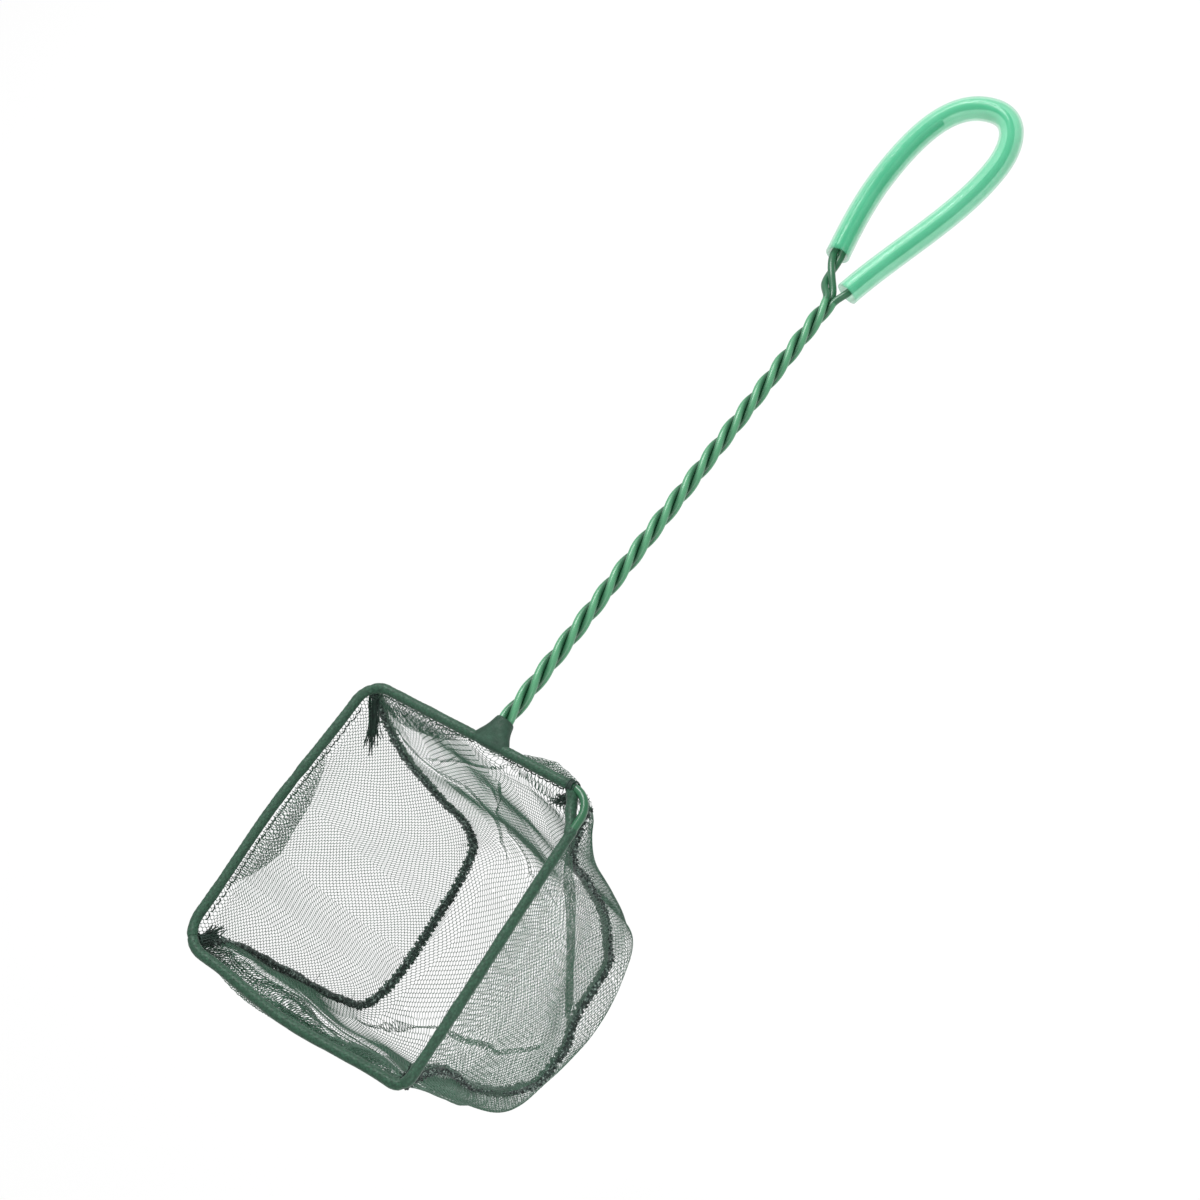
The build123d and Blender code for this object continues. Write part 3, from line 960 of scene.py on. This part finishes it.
def overlock(line, seed, half_width=1.5):
    chance = random.Random(seed)
    sides, tops = frames_along(line)
    along = lengths_along(line)
    winds = []
    for pitch, height in ((1.5, 0.42), (1.9, 0.30), (2.6, -0.36), (1.7, -0.2)):
        wanted = np.arange(0, along[-1], 0.2)
        angle = chance.random() * 6 + 2 * np.pi * wanted / pitch
        angle += np.interp(wanted, along, np.cumsum([chance.gauss(0, 0.22) for _ in along]))
        reach = np.interp(wanted, along, [half_width * (0.72 + 0.3 * chance.random()) for _ in along])
        centre = at_lengths(line, wanted)
        side, top = carried(sides, along, wanted), carried(tops, along, wanted)
        raised = height + 0.3 * np.cos(angle * 1.3)
        winds.append(centre + side * (reach * np.sin(angle))[:, None] + top * raised[:, None])
    frays = []
    for _ in range(int(along[-1] / 2.2)):
        where = int(chance.random() * (len(line) - 2))
        turn = chance.random() * 2 * math.pi
        way = sides[where] * math.cos(turn) + tops[where] * math.sin(turn)
        reach = 1.0 + 1.5 * chance.random() ** 3
        drift = unit(np.array([chance.gauss(0, 1), chance.gauss(0, 1), chance.gauss(0, 1) - 0.4]))
        steps = np.linspace(0.2, 1, 5)[:, None]
        frays.append(line[where] + way * reach * steps + drift * 0.8 * reach * steps**2)
    core = np.interp(along, along[::5], [half_width * (0.5 + 0.3 * chance.random()) for _ in along[::5]])
    return joined(
        strands([line], [core], sides=8),
        strands(winds, wind_radius, sides=5),
        strands(frays, fray_radius, sides=3),
    )


left_overlock = overlock(left_seam + mouth_origin, left_seam_seed)
right_overlock = overlock(right_seam + mouth_origin, right_seam_seed)
left_seam_piece = place("left_overlock_seam", left_overlock, seam_finish)
right_seam_piece = place("right_overlock_seam", right_overlock, seam_finish)
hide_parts("left_seam")
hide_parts("right_seam")


# Hems rolled round the wire, and the row of stitches under each

def hem_parts(line, seed, fullness=1.0):
    """A rolled hem along a run of the wire: the roll, and the knit of its cloth drawn round it."""
    chance = random.Random(seed)
    along = lengths_along(line)
    marks = np.arange(0, along[-1] + hem_wave, hem_wave)
    sizes = np.interp(along, marks, [hem_radius + 0.05 * chance.gauss(0, 1) for _ in marks])
    sizes = fullness * sizes * (0.86 + 0.14 * fade(np.minimum(along, along[-1] - along), 0, 0.8))
    sides, tops = frames_along(line)
    girth = 2 * math.pi * hem_radius
    threads = knit(girth - 0.3, along[-1], lambda across, down: down <= along[-1])
    placed = []
    for thread in threads:
        angle = thread[:, 0] / hem_radius
        size = np.interp(thread[:, 1], along, sizes) - 0.03
        side, top = carried(sides, along, thread[:, 1]), carried(tops, along, thread[:, 1])
        centre = at_lengths(line, thread[:, 1])
        aside, above = size * np.cos(angle), size * np.sin(angle)
        placed.append(centre + side * aside[:, None] + top * above[:, None])
    return joined(strands([line], [sizes], sides=18), strands(placed, thread_radius, sides=3))


def stitch_row(line, inward, seed):
    """A row of stitches under the hem, each on the bag's inner face with its ends through the cloth."""
    chance = random.Random(seed)
    stitches = []
    for start in np.arange(0, lengths_along(line)[-1] - 2, stitch_pitch):
        lies = start + np.array([0, 0.15, 0.5, 1.0, 1.4, 1.65]) + 0.12 * chance.gauss(0, 1)
        depth = np.array([0.7, 1.0, 1.1, 1.1, 1.0, 0.7])
        low = 2.4 + 0.1 * chance.gauss(0, 1) + np.linspace(0, 0.2 * chance.gauss(0, 1), 6)
        stitches.append(at_lengths(line, lies) + inward * depth[:, None] - up * low[:, None])
    return strands(stitches, stitch_radius, sides=5)


mouth_loop = between(mouth_stations, 0.4)


def wire_run(start, end):
    """The wire's own line between two points on the mouth."""
    ring = np.concatenate([mouth_loop, mouth_loop])
    first_step = np.argmin(np.linalg.norm(mouth_loop - start, axis=1))
    last_step = np.argmin(np.linalg.norm(mouth_loop - end, axis=1))
    if last_step < first_step:
        last_step += len(mouth_loop)
    return evenly(ring[first_step:last_step + 1], 0.8)


def round_corner(index, turn):
    """A point on a corner's bend, a share of the way round it."""
    corner, way_in, way_out, radius = corners[index]
    middle = corner - way_in * radius + way_out * radius
    angle = turn * math.pi / 2
    return middle - way_out * radius * math.cos(angle) + way_in * radius * math.sin(angle)


# On the handle side's right the hem cuts the corner: its cloth is gathered inside the bare wire
bare_corner = corners[0][0]
bare_length = 9.0
gather_fullness = 1.1
right_hem_start = bare_corner - to_loop * bare_length
gather_line = through([
    bare_corner + np.array(offset)
    for offset in (
        (-6.6, -0.4, -0.3), (-5.2, -2.2, -0.9), (-3.8, -5.0, -1.2), (-1.7, -7.8, -0.8),
        (-0.2, -10.4, -0.1),
    )
])

# Each hem: its node, where it starts and ends on the wire, and the way into the bag
hem_runs = [
    ("right_hem", right_hem_start, round_corner(1, 0.5), -to_right),
    ("far_hem", round_corner(1, 0.5), round_corner(2, 0.5), to_loop),
    ("left_hem", round_corner(2, 0.5), round_corner(3, 0.5), to_right),
    ("handle_hem_left", round_corner(3, 0.5), mouth_stations[-1][0], -to_loop),
    ("handle_hem_right", mouth_stations[0][0], round_corner(0, 0.0), -to_loop),
]
for seed, (name, start, end, inward) in enumerate(hem_runs):
    run = wire_run(start, end)
    if name == "handle_hem_left":
        run = np.vstack([run, run[-1] + to_right * under_sleeve / 2, run[-1] + to_right * under_sleeve])
    if name == "handle_hem_right":
        run = np.vstack([run[0] - to_right * under_sleeve, run[0] - to_right * under_sleeve / 2, run])
    roll = hem_parts(run, seed)
    if name == "right_hem":
        roll = joined(roll, hem_parts(gather_line, seed + gather_seed, gather_fullness))
    piece = place(name.replace("hem", "rolled_hem"), roll, hem_finish)
    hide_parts(name)
    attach(piece, "frame")
    row_name = name.replace("hem", "stitching")
    straight = run[np.abs((run - run[len(run) // 2]) @ inward) < 1.3]
    stitches = stitch_row(straight, inward, seed + stitch_seed)
    row = place(row_name.replace("stitching", "stitch_row"), stitches, thread_finish)
    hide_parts(row_name)
    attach(row, "frame")


# Corner knots: tangled loops of thread with loose tails

def tangle(middle, inward, seed, hang):
    chance = random.Random(seed)
    loops = []
    for _ in range(knot_loops):
        tilt = unit(np.array([chance.gauss(0, 1), chance.gauss(0, 1), chance.gauss(0, 0.7)]))
        side = unit(np.cross(tilt, [0.3, 0.5, 0.8]))
        other = np.cross(tilt, side)
        size = 0.8 + 0.7 * chance.random()
        angle = np.linspace(0, 2 * math.pi * (1.1 + 0.5 * chance.random()), 26)
        shift = np.array([chance.gauss(0, 0.25), chance.gauss(0, 0.25), chance.gauss(0, 0.35)])
        grow = size * (1 + 0.15 * np.sin(angle * 2.3 + chance.random() * 6))
        aside, along = grow * np.cos(angle), 0.75 * grow * np.sin(angle)
        loops.append(middle + shift + side * aside[:, None] + other * along[:, None])
    tails = []
    for _ in range(stray_tails):
        stray = np.array([chance.gauss(0, 1), chance.gauss(0, 1), -1.2 + chance.gauss(0, 0.4)])
        way = unit(stray + inward * 1.2)
        bend = unit(np.array([chance.gauss(0, 1), chance.gauss(0, 1), chance.gauss(0, 1)]))
        reach = 1.8 + 2.0 * chance.random()
        share = np.linspace(0, 1, 9)[:, None]
        tails.append(middle + way * reach * share + bend * reach * 0.4 * share**2)
    for _ in range(hanging_tails):
        start = middle + np.array([chance.gauss(0, 0.7), chance.gauss(0, 0.5), chance.gauss(0, 0.3)])
        share = np.linspace(0, 1, 12)[:, None]
        splay = np.array([chance.gauss(0, 1), chance.gauss(0, 1), chance.gauss(0, 0.6)]) * 1.1
        reach = 0.75 + 0.4 * chance.random()
        tails.append(start + np.array(hang) * share * reach + splay * share**3)
    return joined(strands(loops, knot_radius, sides=6), strands(tails, tail_radius, sides=4))


def bound(middle, way, seed):
    """Turns of thread wound round the end of a hem."""
    chance = random.Random(seed)
    angle = np.linspace(0, 2 * math.pi, 26)[:, None]
    turns = []
    for _ in range(8):
        size = hem_radius + 0.1 + 0.12 * chance.random()
        lean = unit(up + way * chance.gauss(0, 0.4))
        centre = middle + way * chance.uniform(-0.9, 0.9)
        turns.append(centre + np.cross(way, up) * size * np.cos(angle) + lean * size * np.sin(angle))
    return strands(turns, binding_radius, sides=6)


# The knot of the gathered corner, from the corner's point
gathered_knot = np.array([-6.4, -2.3, -1.9])
# Where the loose tails of each knot hang to
tails_hang = {
    "handle_left": (0.8, -8.5, -11.0),
    "handle_right": (-2.8, -1.6, -2.0),
    "far_left": (2.5, 3.5, -1.5),
    "far_right": (-2.0, 3.0, -3.0),
}
for seed, (name, (corner, way_in, way_out, radius)) in enumerate(
    zip(("handle_right", "far_right", "far_left", "handle_left"), corners)
):
    inward = way_out - way_in
    middle = corner + inward * (0.9 + 0.2 * radius) - up * 2.2
    if name == "handle_right":
        middle = corner + gathered_knot
    knot = tangle(middle, inward, knot_seed + seed, tails_hang[name])
    if name == "handle_right":
        knot = joined(knot, bound(round_corner(seed, 0.0) - to_right * 0.6, to_right, binding_seed))
    piece = place(f"{name}_knot", knot, thread_finish)
    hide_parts(f"{name}_tack")
    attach(piece, "frame")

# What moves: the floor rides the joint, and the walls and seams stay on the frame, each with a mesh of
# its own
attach(floor_net, "bag_floor")
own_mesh(floor_net)
for piece in (handle_wall, far_wall, left_panel, right_panel, left_seam_piece, right_seam_piece):
    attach(piece, "frame")
    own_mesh(piece)


def cut_area(inside, width, length):
    """The flat area of a cut, in square metres, counted in small squares."""
    step = 0.25
    across, down = np.meshgrid(np.arange(-width / 2, width / 2, step), np.arange(0, length, step))
    return float(inside(across.ravel(), down.ravel()).sum()) * step * step * mm * mm


# The cut's box over its area, since each cut tapers from its rim
for piece, inside, width, length, held, holders in (
    (handle_wall, in_strip(0, handle_cut), 76, 120, "gathered", ("handle_hem_left", "handle_hem_right")),
    (floor_net, in_strip(handle_cut, floor_cut), 66, strip_reach, "hung", ()),
    (far_wall, in_strip(floor_cut, strip.length), 74, strip_reach, "gathered", ("far_hem",)),
    (left_panel, in_left, 76, 94, "gathered", ("left_hem",)),
    (right_panel, in_right, 76, 80, "gathered", ("right_hem",)),
):
    area = cut_area(inside, width, length)


# Floor, light and camera
studio_size = 3.0
studio_level = -0.2
glow_share = 0.75
world_strength = 0.55
camera_spot = Vector((0.21547, -0.28365, 0.3656))


def floor_mesh(size, level):
    work = bmesh.new()
    bmesh.ops.create_grid(work, x_segments=4, y_segments=4, size=size)
    bmesh.ops.translate(work, verts=work.verts, vec=(0, -0.1, level))
    mesh = bpy.data.meshes.new("studio floor")
    work.to_mesh(mesh)
    work.free()
    return mesh


def studio_white():
    """White that glows a little where it is seen, so that the floor reads as a blank ground."""
    finish = Finish("studio white")
    finish.put(Base_Color=(0.9, 0.9, 0.9, 1), Roughness=0.9, Specular_IOR_Level=0.0)
    glow = finish.node("ShaderNodeEmission")
    glow.inputs["Color"].default_value = (1, 1, 1, 1)
    glow.inputs["Strength"].default_value = 1.0
    path = finish.node("ShaderNodeLightPath")
    seen = path.outputs["Is Camera Ray"]
    for ray in ("Is Transmission Ray", "Is Glossy Ray"):
        either = finish.node("ShaderNodeMath", operation="MAXIMUM")
        finish.link(seen, either.inputs[0])
        finish.link(path.outputs[ray], either.inputs[1])
        seen = either.outputs[0]
    share = finish.node("ShaderNodeMath", operation="MULTIPLY")
    share.inputs[1].default_value = glow_share
    finish.link(seen, share.inputs[0])
    mix = finish.node("ShaderNodeMixShader")
    finish.link(share.outputs[0], mix.inputs["Fac"])
    finish.link(finish.shader.outputs["BSDF"], mix.inputs[1])
    finish.link(glow.outputs["Emission"], mix.inputs[2])
    finish.link(mix.outputs["Shader"], finish.tree.nodes["Material Output"].inputs["Surface"])
    return finish.material


studio_floor = bpy.data.objects.new("studio_floor", floor_mesh(studio_size, studio_level))
studio_floor.data.materials.append(studio_white())
bpy.context.scene.collection.objects.link(studio_floor)

world = bpy.data.worlds.new("studio")
bpy.context.scene.world = world
world.use_nodes = True
world.node_tree.nodes["Background"].inputs["Color"].default_value = (1, 1, 1, 1)
world.node_tree.nodes["Background"].inputs["Strength"].default_value = world_strength


def lamp(name, spot, aim, size, power):
    light = bpy.data.lights.new(name, "AREA")
    light.shape = "DISK"
    light.size = size
    light.energy = power
    holder = bpy.data.objects.new(name, light)
    holder.location = spot
    holder.rotation_euler = (Vector(aim) - Vector(spot)).to_track_quat("-Z", "Y").to_euler()
    bpy.context.scene.collection.objects.link(holder)


lamp("key light", (-0.35, 0.25, 0.75), (0, -0.12, 0), 0.5, 7.0)
lamp("fill light", (0.7, -0.5, 0.5), (0, -0.12, 0), 0.7, 3.0)

camera = bpy.data.cameras.new("photo camera")
camera.lens = 55.5
camera.sensor_width = 36.0
camera.clip_start = 0.01
camera_holder = bpy.data.objects.new("photo_camera", camera)
right_way = Vector((0.7909, 0.5461, -0.2763))
down_way = Vector((0.3591, -0.7797, -0.5130))
forward_way = Vector((-0.4955, 0.3065, -0.8127))
turned = Matrix((right_way, -down_way, -forward_way)).transposed().to_4x4()
camera_holder.matrix_world = Matrix.Translation(camera_spot) @ turned
bpy.context.scene.collection.objects.link(camera_holder)
bpy.context.scene.camera = camera_holder
bpy.context.scene.view_settings.view_transform = "Standard"
